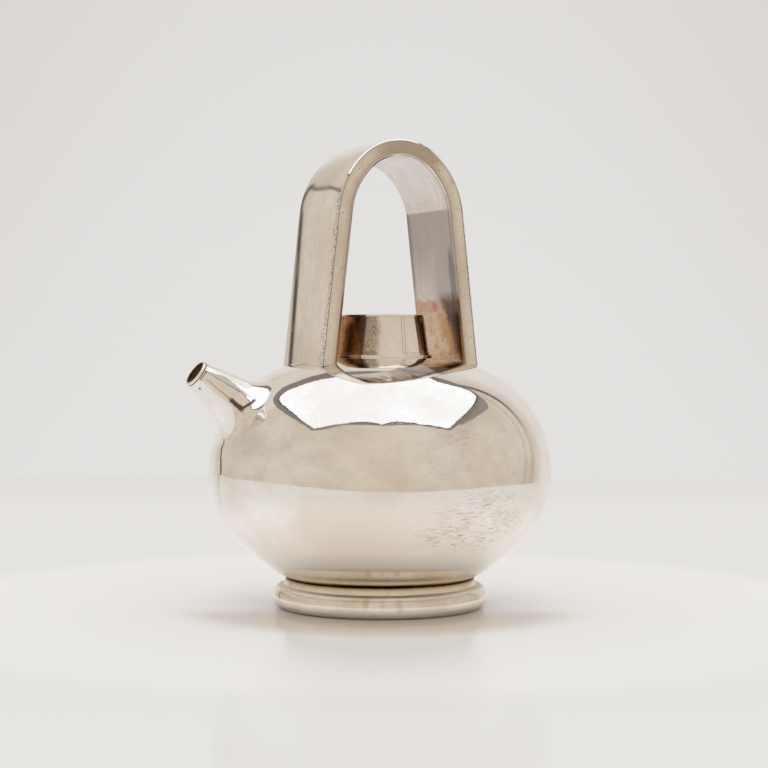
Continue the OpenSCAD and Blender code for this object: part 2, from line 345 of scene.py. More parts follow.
# a warm painted shadow in front of the foot, seen by camera rays only
painted_shadow = g.step(reach, *SHADOW_FADES) * g.step(toward, *SHADOW_FRONT) * seen
white = g.mix(g.step(toward, TABLE_BACK, TABLE_BACK + 0.35), TABLE_FAR, TABLE_WHITE)
lacquer = g.add("ShaderNodeBsdfPrincipled", {
    "Base Color": g.mix(painted_shadow, white, TABLE_SHADOW_TINT), "Roughness": 0.12, "Specular IOR Level": 0.05,
    "Emission Color": TABLE_GLOW, "Emission Strength": sheen * in_silver + spill})
clear = g.add("ShaderNodeBsdfTransparent")
table_mix = g.add("ShaderNodeMixShader", {
    0: beyond * in_silver, 1: lacquer.outputs[0], 2: clear.outputs[0]})
g.add("ShaderNodeOutputMaterial", {"Surface": table_mix.outputs[0]})
stage_card("table", [(-FLOOR_REACH, FLOOR_REACH), (FLOOR_REACH, FLOOR_REACH),
                     (FLOOR_REACH, TABLE_BACK), (-FLOOR_REACH, TABLE_BACK)], -FLOOR_DROP, material)

# %% [markdown]
# ## The softbox
# The white cloth over the pot has a dark border, then a grey frame with flaps, and a grey ceiling
# panel shows past its right side. Each is a flat card a little above the one before it, so the
# shoulder reflects the cloth in front of its border and the border in front of the frame.

# %% Softbox
SOFTBOX_LIFT = 0.6
SOFTBOX_LIGHT = 1.1
EDGE_WIDTH = 0.015
# the cloth, by how far each corner is to the right of the pot's axis and nearer than it
SOFTBOX_OUTLINE = [
    (-0.474, -0.376), (-0.528, -0.352), (-0.569, -0.300), (-0.583, -0.202), (-0.585, 0.10),
    (-0.592, 0.19), (-0.584, 0.418), (-0.32, 0.448), (-0.10, 0.447), (-0.04, 0.476),
    (0.014, 0.503), (0.06, 0.474), (0.115, 0.435), (0.32, 0.445), (0.596, 0.39),
    (0.578, 0.194), (0.565, 0.017), (0.545, -0.158), (0.527, -0.242), (0.504, -0.321),
    (0.433, -0.351), (0.324, -0.312), (0.235, -0.301), (0.188, -0.36), (-0.30, -0.36)]
# the frame with its flaps, seen past the cloth, and the grey ceiling panel beyond its right side
FRAME_OUTLINE = [
    (-0.593, -0.421), (-0.633, -0.323), (-0.658, -0.205), (-0.656, -0.053), (-0.651, 0.059),
    (-0.639, 0.175), (-0.629, 0.310), (-0.627, 0.443), (-0.486, 0.484), (-0.32, 0.475),
    (0.014, 0.53), (0.32, 0.47), (0.638, 0.427), (0.632, 0.120), (0.613, -0.122),
    (0.572, -0.260), (0.526, -0.367), (0.422, -0.389), (0.316, -0.386), (-0.220, -0.544),
    (-0.260, -0.531), (-0.353, -0.498), (-0.451, -0.511), (-0.506, -0.486)]
PANEL_OUTLINE = [
    (0.55, 0.30), (0.670, 0.240), (0.689, 0.113), (0.696, -0.036), (0.698, -0.161),
    (0.695, -0.289), (0.622, -0.357), (0.50, -0.37)]
softbox_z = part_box("lid_seat")[1].z + SOFTBOX_LIFT

for name, outline, lift, grow, colour, strength in (
        ("softbox", SOFTBOX_OUTLINE, 0, 0, (0.98, 1.02, 1.07, 1), SOFTBOX_LIGHT),
        ("softbox_edge", SOFTBOX_OUTLINE, 0.002, EDGE_WIDTH, linear(70, 62, 58), 1),
        ("softbox_rim", FRAME_OUTLINE, 0.004, 0, linear(139, 131, 124), 1),
        ("ceiling_panel", PANEL_OUTLINE, 0.006, 0, linear(150, 143, 137), 1)):
    material, g = new_material(name)
    shine = g.add("ShaderNodeEmission", {"Color": colour, "Strength": strength})
    g.add("ShaderNodeOutputMaterial", {"Surface": shine.outputs[0]})
    card = stage_card(name, outline, softbox_z + lift, material, grow)
    card.visible_camera = False
    card.visible_diffuse = False

# %% [markdown]
# ## Outlines, a lathe and a strap bender
# A silversmith raises the pot and spins the small rings on a lathe, so a round piece is one
# outline swept round the axis. The strap is the same idea with another path: a thin section swept
# along the arch. Both are Geometry Nodes trees that share their ending. They merge doubled
# points at the axis, leave edges sharper than a set angle crisp, and set the material. The
# outlines are worked out from arcs and from the solids' own boxes.

# %% Outline helpers
ARC_STEP = radians(1.5)
LATHE_RIM = 0.00015


def arc(centre, radius, start, end, step=ARC_STEP):
    """Points of an arc, angles in radians from the +X side."""
    count = max(2, ceil(abs(end - start) / step))
    angles = [start + (end - start) * i / count for i in range(count + 1)]
    return [(centre[0] + radius * cos(a), centre[1] + radius * sin(a)) for a in angles]


def even(start, end, count):
    """Evenly spaced points from start towards end, without the last one."""
    return [tuple(s + (e - s) * i / count for s, e in zip(start, end)) for i in range(count)]


def straight(start, end, step):
    """Points of a straight stretch, a step or less apart, without its last one."""
    return even(start, end, max(1, ceil(hypot(end[0] - start[0], end[1] - start[1]) / step)))


def rounded(corners, steps=3):
    """A closed outline whose corners, given counter-clockwise, are slightly rounded off."""
    points = []
    for i, corner in enumerate(corners):
        corner = Vector(corner)
        back = Vector(corners[i - 1]) - corner
        on = Vector(corners[(i + 1) % len(corners)]) - corner
        half = back.normalized().angle(on.normalized()) / 2
        cut = min(LATHE_RIM / tan(half), 0.45 * back.length, 0.45 * on.length)
        start, end = corner + cut * back.normalized(), corner + cut * on.normalized()
        for k in range(steps + 1):
            t = k / steps
            points.append(tuple((1 - t) ** 2 * start + 2 * t * (1 - t) * corner + t ** 2 * end))
    return points


def chain(name, points, closed, labels=None):
    """A string of edges that a tree sweeps or follows. Labels are a value for each point."""
    mesh = bpy.data.meshes.new(name)
    edges = [(i, i + 1) for i in range(len(points) - 1)]
    if closed:
        edges.append((len(points) - 1, 0))
    mesh.from_pydata([(*p, 0) if len(p) == 2 else p for p in points], edges, [])
    for label, values in (labels or {}).items():
        mesh.attributes.new(label, "FLOAT", "POINT").data.foreach_set("value", values)
    return new_object(name, mesh)

# %% Sweep trees
def sweep_tree(name, sizes, make_path):
    """A tree that sweeps the outline it is given along the path that make_path adds."""
    tree = bpy.data.node_groups.new(name, "GeometryNodeTree")
    tree.interface.new_socket("Geometry", in_out="INPUT", socket_type="NodeSocketGeometry")
    shared = [("Sharp angle", "NodeSocketFloat"), ("Material", "NodeSocketMaterial")]
    for label, kind in sizes + shared:
        tree.interface.new_socket(label, in_out="INPUT", socket_type=kind)
    tree.interface.new_socket("Geometry", in_out="OUTPUT", socket_type="NodeSocketGeometry")
    g = Graph(tree)
    given = g.add("NodeGroupInput").outputs
    outline = g.add("GeometryNodeMeshToCurve", {0: given["Geometry"]})
    path, up = make_path(g, given)
    path = g.add("GeometryNodeSetCurveNormal", {"Curve": path, "Normal": up}, mode="FREE")
    swept = g.add("GeometryNodeCurveToMesh", {
        "Curve": path.outputs[0], "Profile Curve": outline.outputs[0],
        "Fill Caps": name == "strap_bender"})
    merged = g.add("GeometryNodeMergeByDistance", {"Geometry": swept.outputs[0], "Distance": 1e-7})
    smooth = g.add("GeometryNodeSetShadeSmooth", {"Geometry": merged.outputs[0]})
    angle = g.add("GeometryNodeInputMeshEdgeAngle").outputs[0]
    soft = g.add("FunctionNodeCompare", {0: angle, 1: given["Sharp angle"]}, operation="LESS_THAN")
    edges = g.add("GeometryNodeSetShadeSmooth", {
        "Geometry": smooth.outputs[0], "Shade Smooth": soft.outputs[0]}, domain="EDGE")
    real = g.add("GeometryNodeRealizeInstances", {0: edges.outputs[0]})
    dressed = g.add("GeometryNodeSetMaterial", {
        "Geometry": real.outputs[0], "Material": given["Material"]})
    g.add("NodeGroupOutput", {0: dressed.outputs[0]})
    return tree


def circle_path(g, given):
    circle = g.add("GeometryNodeCurvePrimitiveCircle", {
        "Resolution": given["Turns"], "Radius": given["Radius"]})
    return circle.outputs[0], (0, 0, 1)


def object_path(g, given):
    info = g.add("GeometryNodeObjectInfo", {"Object": given["Path"]})
    curve = g.add("GeometryNodeMeshToCurve", {0: info.outputs["Geometry"]})
    return curve.outputs[0], (0, 1, 0)


lathe_tree = sweep_tree("lathe", [("Turns", "NodeSocketInt"), ("Radius", "NodeSocketFloat")],
                        circle_path)
strap_tree = sweep_tree("strap_bender", [("Path", "NodeSocketObject")], object_path)

# %% [markdown]
# ## From outline to mesh
# A tree runs once on its outline and leaves a plain mesh. A light hammer pass then makes a spun or
# bent surface a little uneven, and the solids that the piece stands for are hidden.

# %% Running a tree
SHARP = radians(32)


def keep_result(piece):
    """Makes what a piece's modifiers give its own plain mesh."""
    result = piece.evaluated_get(bpy.context.evaluated_depsgraph_get())
    mesh = bpy.data.meshes.new_from_object(result)
    piece.modifiers.clear()
    piece.data = mesh


def run_tree(piece, tree, **values):
    """Runs a tree on an outline and turns the faces of its result outwards."""
    modifier = piece.modifiers.new(tree.name, "NODES")
    modifier.node_group = tree
    for item in tree.interface.items_tree:
        label = item.name.replace(" ", "_").lower()
        if item.in_out == "INPUT" and label in values:
            modifier[item.identifier] = values[label]
    keep_result(piece)
    face_outwards(piece.data)
    return piece


def face_outwards(mesh):
    """Drops faces without area and turns the others outwards."""
    shell = bmesh.new()
    shell.from_mesh(mesh)
    bmesh.ops.dissolve_degenerate(shell, dist=1e-8, edges=shell.edges)
    bmesh.ops.recalc_face_normals(shell, faces=shell.faces)
    shell.to_mesh(mesh)
    shell.free()

# %% Lathe and finishing helpers
LATHE_RADIUS = 0.1


def lathe(name, outline, material, turns=192, closed=True):
    """Turns an outline of (distance from the axis, height) points round the pot's axis."""
    piece = chain(name, [(z, r - LATHE_RADIUS) for r, z in outline], closed)
    return run_tree(piece, lathe_tree, turns=turns, radius=LATHE_RADIUS, sharp_angle=SHARP,
                    material=material)


def hammer(piece, depth, size, seed, keep=None):
    """Presses faint dents of about that size into a surface, never outwards."""
    shift = Vector((seed * 7.3, seed * 3.1, seed * 5.7))
    normals = [v.normal.copy() for v in piece.data.vertices]
    for vertex, normal in zip(piece.data.vertices, normals):
        level = 0.5 + 0.5 * noise.noise(vertex.co / size + shift)
        share = keep(vertex.co) if keep else 1
        vertex.co -= normal * depth * level * share


def finish_piece(piece, body, slot, *nodes):
    """Hangs the piece under its body and hides the solids it stands for; slot is not used."""
    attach(piece, body)
    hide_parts(*nodes)
    print(piece.name, len(piece.data.polygons), "faces")

# %% [markdown]
# ## Old polished silver
# Clean silver mirrors the room with a faint warm tint. Years of polishing leave a cloudy film,
# hair-fine scratches round the belly and pits that hold dark polish. Tarnish gathers where a
# cloth can't reach: by the solder joints, under the arch and round the lid. One recipe makes
# them all. Tarnish on silver still mirrors, only darker, so every stain changes the colour and
# the roughness of the same metal and nothing is painted over it.
# The crease over the foot, the top of its band and the bead's lowest part are darkened the same way,
# as painted shade.

# %% Tones and stains
CLEAN = linear(247, 244, 240)
CLOUDY = linear(238, 230, 221)
PIT = linear(70, 58, 48)
BROWN = linear(128, 88, 56)
DARK = linear(46, 30, 20)
GOLD = linear(222, 196, 142)


class Finish(Graph):
    """One piece's silver in the making: its marks change self.colour and self.rough."""

    def __init__(self, tree):
        super().__init__(tree)
        self.place = self.add("ShaderNodeTexCoord").outputs["Object"]
        self.height = self.dot(self.place, UP)

    def cloud(self, scale, *settings):
        """Soft noise over the piece."""
        return self.noise(self.place, scale, *settings)

    def cells(self, scale):
        """Distance from scattered points, for pits and spots."""
        inputs = {"Vector": self.place, "Scale": scale}
        return self.number("ShaderNodeTexVoronoi", inputs, "Distance")

    def label(self, name):
        """A value that the piece's outline or path carries at each point."""
        return self.number("ShaderNodeAttribute", {}, "Fac", attribute_name=name)

    def blot(self, centre, reach, ragged=0.9, scale=230):
        """A ragged patch, from 0 outside to 1 inside, about a point, in metres."""
        away = self.vector("DIVIDE", self.vector("SUBTRACT", self.place, centre), reach)
        edge = self.cloud(scale, 4.0, 0.6) * ragged + self.length(away)
        return self.step(edge, 1.05 + ragged / 2, 0.45 + ragged / 2)

    def crease(self, radius, height, reach):
        """A band round the pot's axis, from 0 outside to 1 along a circle."""
        level = self.length(self.vector("MULTIPLY", self.place, (1, 1, 0)))
        out = level - radius
        up = self.height - height
        away = self.math("SQRT", out * out + up * up) + self.cloud(300, 2.0) * (reach * 0.5)
        return self.step(away, reach * 1.25, reach * 0.55)

    def stain(self, share, strength, tone, dull):
        """Darkens and dulls the same metal where share is high: tarnish, and in a few places painted
        shade.
        """
        share = share * strength
        self.colour = self.mix(share, self.colour, tone)
        self.rough += share * (dull - self.rough)


# %% [markdown]
# ## The recipe itself
# It lays film, scratches, haze and pits over clean silver, then lets the piece add its own
# stains. Scratches and pits are also pressed in a little, as bumps.

# %% Silver recipe
def silver(name, clean=CLEAN, cloudy=CLOUDY, roughness=0.035, pits=0.25, scratches=0.3,
           dents=0.25, marks=None):
    """Polished silver. marks is a function that adds this piece's own stains to a Finish."""
    material, g = new_material(name, Finish)
    film = g.step(g.cloud(42, 5.0, 0.62), 0.38, 0.66)
    g.colour = g.mix(film, clean, cloudy)
    g.rough = g.step(film, 0.0, 1.0, roughness, roughness * 1.7)
    # hair-fine scratches that run level round the pot
    lines = g.cloud(900, 2.0, 0.5, (0.05, 0.05, 1.6))
    hair = g.step(lines, 0.56, 0.70) * g.step(g.cloud(26, 2.0), 0.45, 0.7)
    g.colour = g.mix(hair * scratches, g.colour, cloudy)
    # a fine haze that polishing leaves
    haze = g.step(g.cloud(480, 4.0, 0.7, (0.6, 0.6, 1.2)), 0.46, 0.62, 0.0, 0.4)
    g.colour = g.mix(haze, g.colour, cloudy)
    # pits that hold dark polish, in patches
    pit = g.step(g.cells(1100), 0.30, 0.16) * g.step(g.cloud(60), 0.55, 0.72) * pits
    g.colour = g.mix(pit, g.colour, PIT)
    if marks:
        marks(g)
    depth = lines * 0.08 - pit * 1.5 + g.cloud(170, 2.0) * dents
    bump = g.add("ShaderNodeBump", {"Height": depth, "Strength": 0.1, "Distance": 0.0006})
    metal = g.add("ShaderNodeBsdfPrincipled", {
        "Metallic": 1.0, "Base Color": g.colour, "Roughness": g.rough, "Normal": bump.outputs[0]})
    g.add("ShaderNodeOutputMaterial", {"Surface": metal.outputs[0]})
    return material

# %% [markdown]
# ## The pot's shell
# The body is raised from sheet: a flat bottom curve, a tight side curve below the widest line, a
# slightly fuller one above it and a broad crown. Four arcs that share their tangents give that
# outline, and a hammer pass presses in the faint unevenness that makes real reflections waver.
# The two halves of the solid are one surface here, because no seam shows on the real pot.

# %% Pot outline
WALL = 0.0009
SIDE_R_UPPER = 0.0457
SIDE_R_LOWER = 0.0402
CROWN_R = 0.160
BASE_R = 0.0834
bowl_low, bowl_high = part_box("bowl")
body_r, belly_z, bottom_z = bowl_high.x, bowl_high.z, bowl_low.z
collar_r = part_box("neck_collar")[1].x
upper_side_x = body_r - SIDE_R_UPPER
lower_side_x = body_r - SIDE_R_LOWER
crown_z = belly_z - sqrt((CROWN_R - SIDE_R_UPPER) ** 2 - upper_side_x ** 2)
base_z = bottom_z + BASE_R
crown_a = atan2(belly_z - crown_z, upper_side_x)
base_a = atan2(base_z - belly_z, lower_side_x)


def shoulder_z(r):
    """Height of the shoulder's surface at distance r from the pot's axis."""
    return crown_z + sqrt(CROWN_R ** 2 - r ** 2)


def pot_outline(depth):
    """From the middle of the bottom over the widest line to the collar, at a depth in the wall."""
    edge_a = acos(collar_r / (CROWN_R - depth))
    return (
        arc((0, base_z), BASE_R - depth, -pi / 2, -base_a)[:-1]
        + arc((lower_side_x, belly_z), SIDE_R_LOWER - depth, -base_a, 0)[:-1]
        + arc((upper_side_x, belly_z), SIDE_R_UPPER - depth, 0, crown_a)[:-1]
        + arc((0, crown_z), CROWN_R - depth, crown_a, edge_a, ARC_STEP / 3)
    )

# %% [markdown]
# ## The spout's frame
# The spout's axis stands square on the side curve. Distances along it start at the pot's
# surface, and directions round it start at its upper side. The shell gets a round opening there,
# behind which the strainer's own solid shows.

# %% Spout axis
SPOUT_ANGLE = radians(36.2)
spout_out = Vector((-cos(SPOUT_ANGLE), 0, sin(SPOUT_ANGLE)))
spout_up = Vector((sin(SPOUT_ANGLE), 0, cos(SPOUT_ANGLE)))
spout_across = spout_up.cross(spout_out)
spout_seat = Vector((-upper_side_x, 0, belly_z)) + SIDE_R_UPPER * spout_out
STRAINER_R = 0.010


def on_spout(r, s, a):
    """The point at distance r from the spout's axis, s along it, in direction a round it."""
    return spout_seat + s * spout_out + r * (cos(a) * spout_up - sin(a) * spout_across)


def from_spout_axis(point):
    return (point - spout_seat - (point - spout_seat).dot(spout_out) * spout_out).length


# %% [markdown]
# ## Marks on the shell
# Each stain says where it lies, how strong it is, its tone and how dull it leaves the metal.
# Places and heights are in metres. The shell has a film under the spout, a painted warm reflection
# and wear low on the belly, and a crease over the foot painted dark as shade.

# %% Shell
FOOT_NECK_R = 0.0383
FOOT_NECK_Z = 0.0122
ROOT_R = 0.016
ROOT_FADE = 0.012


def pot_marks(g):
    """The shell's stains."""
    # a grey film under the spout
    grey = g.blot(studio_point(-0.049, 0.047, 0.069), (0.011, 0.011, 0.007), 0.8, 110)
    g.stain(grey, 0.16, linear(214, 209, 205), 0.08)
    # a warm tint low on the belly, strongest where it faces the camera, is painted reflection that
    # dims the table seen there; level dashes are scratched on its right
    sideways = abs(g.dot(g.place, right))
    warm = g.step(g.cloud(30), 0.3, 0.6, 0.6, 1.0) * g.step(sideways, 0.048, 0.012)
    warm *= g.step(g.height, 0.062, 0.034)
    g.colour = g.mix(warm, g.colour, linear(232, 221, 209))
    dashes = g.step(g.cloud(1700, 3.0, 0.6, (0.16, 0.16, 1.7)), 0.52, 0.64)
    for centre, reach, strength in (((0.014, -0.0648, 0.039), (0.027, 0.022, 0.017), 0.40),
                                    ((-0.004, -0.064, 0.034), (0.012, 0.012, 0.006), 0.35),
                                    ((0.002, -0.067, 0.072), (0.010, 0.010, 0.004), 0.35)):
        g.stain(dashes * g.blot(centre, reach, 0.9, 120), strength, BROWN, 0.3)
    # painted shade: the crease over the foot is dark, wider in front where it faces the camera, and
    # the satin bottom meets it
    crease = g.crease(FOOT_NECK_R + 0.0006, FOOT_NECK_Z, 0.0022)
    g.stain(crease * g.step(sideways, 0.034, 0.012), 1.0, DARK, 0.5)
    g.stain(g.crease(FOOT_NECK_R, FOOT_NECK_Z, 0.0010), 1.0, DARK, 0.5)
    g.rough += g.step(g.height, 0.021, 0.015) * 0.16


pot_silver = silver("pot_silver", scratches=0.5, marks=pot_marks)
shell = lathe("pot_shell", pot_outline(0) + pot_outline(WALL)[::-1], pot_silver, 288, False)


def calm_near_spout(point):
    """Leaves the shell true where the spout's root lies on it."""
    if point.x > 0:
        return 1
    return min(1, max(0, (from_spout_axis(point) - ROOT_R) / ROOT_FADE))


hammer(shell, 0.00006, 0.016, 1, calm_near_spout)
hammer(shell, 0.00004, 0.045, 2, calm_near_spout)

cutter_mesh = bpy.data.meshes.new("spout_hole")
drill = bmesh.new()
bmesh.ops.create_cone(drill, cap_ends=True, segments=96, radius1=STRAINER_R, radius2=STRAINER_R,
                      depth=0.016)
to_spout = (Matrix.Translation(spout_seat)
            @ UP.rotation_difference(spout_out).to_matrix().to_4x4())
drill.transform(to_spout)
drill.to_mesh(cutter_mesh)
drill.free()
cutter = new_object("spout_hole", cutter_mesh)
cut = shell.modifiers.new("hole", "BOOLEAN")
cut.operation = "DIFFERENCE"
cut.solver = "EXACT"
cut.object = cutter
keep_result(shell)
bpy.data.objects.remove(cutter)
finish_piece(shell, "pot", "pot_silver", "bowl", "shoulder")

# %% [markdown]
# ## The foot
# An upright band carries the pot, and a hollow half-round bead runs round it. The crease above the
# band is painted nearly black as shade, and its upper edge catches a gold line. The band's top and
# the bead's lowest part are painted darker as shade too.

# %% Foot
FOOT_BAND_T = 0.0012
FOOT_BEAD_R = 0.0047
FOOT_BEAD_T = 0.001
FOOT_FLAT = 0.0002
bead_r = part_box("foot_bead")[1].x
foot_r = bead_r - FOOT_BEAD_R
bead_z = FOOT_BEAD_R - FOOT_FLAT
bead_top = bead_z + FOOT_BEAD_R
bead_foot_a = -atan2(bead_z, sqrt(FOOT_BEAD_R ** 2 - bead_z ** 2))
# heights between which the stains lie
GOLD_LINE = (0.0093, 0.0117)
BEAD_SHADE = (0.0052, 0.0076)
LOW_STREAK = (0.0014, 0.0022)
SPOTTED = (0.0055, 0.0088)
INNER_CORNER = (0.0084, 0.0093)


def foot_marks(g):
    """Stains and painted shade by height over the table."""
    # a gold line under the crease, a shade above the bead and a brown streak low on it
    fine = g.cloud(420, 4.0, 0.65)
    gold = g.window(g.height, *GOLD_LINE, 0.0005) * g.step(fine, 0.3, 0.6, 1.0, 0.5)
    g.stain(gold, 0.65, GOLD, 0.15)
    g.stain(g.window(g.height, *BEAD_SHADE, 0.0007), 0.2, linear(204, 190, 176), 0.15)
    streak = g.window(g.height, *LOW_STREAK, 0.0003) * g.step(g.cloud(60), 0.42, 0.58)
    g.stain(streak, 0.45, BROWN, 0.2)
    # three smudges in front
    for side_way, strength in ((-0.0052, 0.26), (0.0010, 0.14), (0.0074, 0.20)):
        smudge = g.blot(studio_point(side_way, 0.0425, 0.0056), (0.0022, 0.0022, 0.0036), 1.2, 380)
        g.stain(smudge, strength, BROWN, 0.25)
    # painted shade: the bead's lowest part is darker, next to the table
    g.stain(g.step(g.height, 0.0036, 0.0004), 0.9, linear(196, 178, 164), 0.15)
    # brown spots, most of them in one worn place
    place = g.blot(studio_point(0.023, 0.0368, 0.0068), (0.010, 0.010, 0.0042), 0.8, 300)
    band = g.window(g.height, *SPOTTED, 0.0008) * g.step(g.cloud(75), 0.56, 0.66)
    spot = g.step(fine * 0.3 + g.cells(900), 0.38, 0.28)
    g.stain(spot * g.larger(place, band), 0.6, BROWN, 0.3)
    # painted shade: the top of the band darkens into the crease, and the crease itself is painted
    # dark
    g.stain(g.step(g.height, 0.0101, 0.0119), 0.9, linear(168, 130, 86), 0.3)
    g.stain(g.crease(FOOT_NECK_R, FOOT_NECK_Z, 0.0009), 1.0, DARK, 0.5)
    # a cloth can't follow the corner between bead and band, which stays satin
    g.rough += g.window(g.height, *INNER_CORNER, 0.0004) * 0.30
    g.rough += g.step(g.height, 0.0074, 0.0092) * 0.10


foot_silver = silver("foot_silver", clean=linear(244, 239, 230), cloudy=linear(232, 222, 207),
                     roughness=0.07, pits=0.5, marks=foot_marks)
band = lathe("foot_ring", [
    (foot_r - FOOT_BAND_T, 0), (foot_r, 0), (foot_r, bead_top), (FOOT_NECK_R, FOOT_NECK_Z),
    (FOOT_NECK_R - FOOT_BAND_T, FOOT_NECK_Z), (foot_r - FOOT_BAND_T, bead_top)], foot_silver)
finish_piece(band, "pot", "foot_silver", "foot_band")
bead = lathe("foot_moulding", [(foot_r, 0)]
             + arc((foot_r, bead_z), FOOT_BEAD_R, bead_foot_a, pi / 2, radians(5))
             + arc((foot_r, bead_z), FOOT_BEAD_R - FOOT_BEAD_T, pi / 2, -pi / 2, radians(8)),
             foot_silver, 256)
hammer(bead, 0.00005, 0.012, 3)
finish_piece(bead, "pot", "foot_silver", "foot_bead")

# %% [markdown]
# ## Neck and seat
# Under the lid, a plain tube guides the lid's bezel, and a flat ring carries the lid.

# %% Neck
inside_silver = silver("inside_silver", clean=linear(176, 156, 130), cloudy=linear(128, 106, 84),
                       roughness=0.3, pits=0.3)


def ring(name, inner, outer, low, high, material, turns=160):
    """A plain tube or flat ring with slightly softened edges."""
    corners = [(inner, low), (outer, low), (outer, high), (inner, high)]
    return lathe(name, rounded(corners), material, turns)


neck_low, neck_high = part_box("neck_collar")
NECK_T = 0.001
collar = ring("neck_tube", collar_r - NECK_T, collar_r, neck_low.z, neck_high.z, inside_silver)
finish_piece(collar, "pot", "inside_silver", "neck_collar")
seat_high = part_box("lid_seat")[1]
seat_r, seat_z = seat_high.x, seat_high.z
seat = lathe("seat_ring", rounded([
    (collar_r, shoulder_z(collar_r) - WALL / 2), (seat_r, shoulder_z(seat_r)), (seat_r, seat_z),
    (collar_r, seat_z)]), pot_silver)
finish_piece(seat, "pot", "pot_silver", "lid_seat")

# %% [markdown]
# ## The spout
# The tube tapers to the mouth, and its root flows into the shoulder with no line. In every
# direction round the axis an arc touches the tube's cone and the pot's curve, which is tighter
# up and down than sideways, so each section of the wall is solved by itself and the sections are
# skinned. The last points of each lie on the shell.

# %% Spout
SPOUT_LEN = 0.0234
LIP_H = 0.0012
LIP_OUT = 0.00015
MOUTH_R = 0.0056
SPOUT_T = 0.00085
SPOUT_TAPER = radians(14.4)
SPOUT_FILLET = 0.012
SPOUT_TURNS = 160
TUBE_STEPS = 12
BLEND_STEPS = 21
SEAT_STEPS = 4
SEAT_LIFT = 0.00001
bore_r = MOUTH_R - SPOUT_T
lip_s = SPOUT_LEN - LIP_H
bore_s = lip_s - (STRAINER_R - bore_r) / tan(SPOUT_TAPER)
around_r = SIDE_R_UPPER + upper_side_x / cos(SPOUT_ANGLE)


def above_pot(point):
    """Distance of a point near the spout from the pot's surface."""
    return hypot(hypot(point.x, point.y) - upper_side_x, point.z - belly_z) - SIDE_R_UPPER


def seat_height(r, a):
    """How far along the axis the pot's surface lies, at distance r in direction a."""
    s = 0.0
    for _ in range(12):
        s -= above_pot(on_spout(r, s, a))
    return s


def spout_section(a):
    """Points (r, s) round the wall in direction a, from the lip down to the pot and back."""
    pot_r = 1 / (cos(a) ** 2 / SIDE_R_UPPER + sin(a) ** 2 / around_r)
    start = Vector((MOUTH_R, lip_s)) + SPOUT_FILLET * Vector((cos(SPOUT_TAPER), sin(SPOUT_TAPER)))
    down = Vector((sin(SPOUT_TAPER), -cos(SPOUT_TAPER)))
    from_pot = start + Vector((0, pot_r))
    reach = pot_r + SPOUT_FILLET
    along = -from_pot.dot(down)
    centre = start + down * (along - sqrt(along ** 2 - from_pot.length_squared + reach ** 2))
    end = pi + atan2(centre.y + pot_r, centre.x)
    step = (end - pi - SPOUT_TAPER) / (BLEND_STEPS - 0.5)
    blend = arc(centre, SPOUT_FILLET, pi + SPOUT_TAPER, end, step)
    foot = blend[-1][0]
    seat = [foot + (STRAINER_R - foot) * i / SEAT_STEPS for i in range(SEAT_STEPS + 1)]
    return (even((MOUTH_R, lip_s), blend[0], TUBE_STEPS)
            + blend[:-1]
            + [(r, seat_height(r, a) + SEAT_LIFT) for r in seat]
            + [(STRAINER_R, bore_s), (bore_r, lip_s)])


# %% [markdown]
# ## The spout's marks and skin
# The spout is soldered on. Its seam runs down the side and thickens at the root. The mouth and
# the bore are dark, because no cloth goes in there.

# %% Spout skin
def spout_marks(g):
    """Solder lines, by distance along the spout's axis and by degrees round it."""
    from_seat = g.vector("SUBTRACT", g.place, spout_seat)
    s = g.dot(from_seat, spout_out)
    turn = g.math("ARCTAN2", g.dot(from_seat, -spout_across), g.dot(from_seat, spout_up))
    wave = g.cloud(330, 4.0, 0.65) - 0.5
    turn = turn * (180 / pi) + wave * 8.0
    # a grey wedge under the lip
    upper = abs(s - 0.0138) * -1900.0 - 50.0
    wedge = g.step(turn, -74, -71) * g.step(turn - upper, 1, -3)
    g.stain(wedge, 0.8, linear(166, 158, 146), 0.15)
    # a thin seam that thickens towards the root, where a short arm turns off it
    away = abs(turn - g.step(s, 0.0205, 0.0060, -95.5, -101.5))
    seam = g.step(away, 2.4, 0.8) * g.window(s, 0.0026, 0.0200, 0.0008)
    g.stain(seam, 0.55, BROWN, 0.2)
    root = g.step(away, 7.0, 4.0) * g.window(s, 0.0020, 0.0082, 0.0008)
    bend = abs(s - g.step(turn, -103, -74, 0.0026, 0.0009))
    arm = g.step(bend, 0.0006, 0.0003) * g.window(turn, -104, -73, 2)
    g.stain(g.larger(root, arm), 0.9, linear(74, 62, 52), 0.2)
    # a dark line round part of the mouth, the groove behind its ring, and one dent
    mouth = g.window(s, lip_s - 0.0009, lip_s - 0.0005, 0.0002) * g.window(turn, -112, -66, 3)
    g.stain(mouth, 0.8, DARK, 0.3)
    g.stain(g.window(s, lip_s - 0.0002, lip_s + 0.0002, 0.0002), 0.7, DARK, 0.3)
    g.stain(g.blot((-0.07958, -0.00421, 0.0896), (0.0007,) * 3, 0.5, 900), 0.7, PIT, 0.3)


spout_silver = silver("spout_silver", dents=0.1, marks=spout_marks)
spout_dark = silver("spout_dark", clean=linear(206, 166, 122), cloudy=linear(176, 136, 96),
                    roughness=0.6, pits=0.0)
turns = [2 * pi * j / SPOUT_TURNS for j in range(SPOUT_TURNS)]
sections = [[on_spout(r, s, a) for r, s in spout_section(a)] for a in turns]
rows = len(sections[0])
faces = []
for j in range(SPOUT_TURNS):
    here, there = j * rows, (j + 1) % SPOUT_TURNS * rows
    for i in range(rows):
        on = (i + 1) % rows
        faces.append((here + i, here + on, there + on, there + i))
spout_mesh = bpy.data.meshes.new("spout_tube")
spout_mesh.from_pydata([point for section in sections for point in section], [], faces)
spout_mesh.materials.append(spout_silver)
spout_mesh.materials.append(spout_dark)
for face in spout_mesh.polygons:
    face.material_index = 1 if face.index % rows >= rows - 3 else 0
face_outwards(spout_mesh)
spout_mesh.shade_smooth()
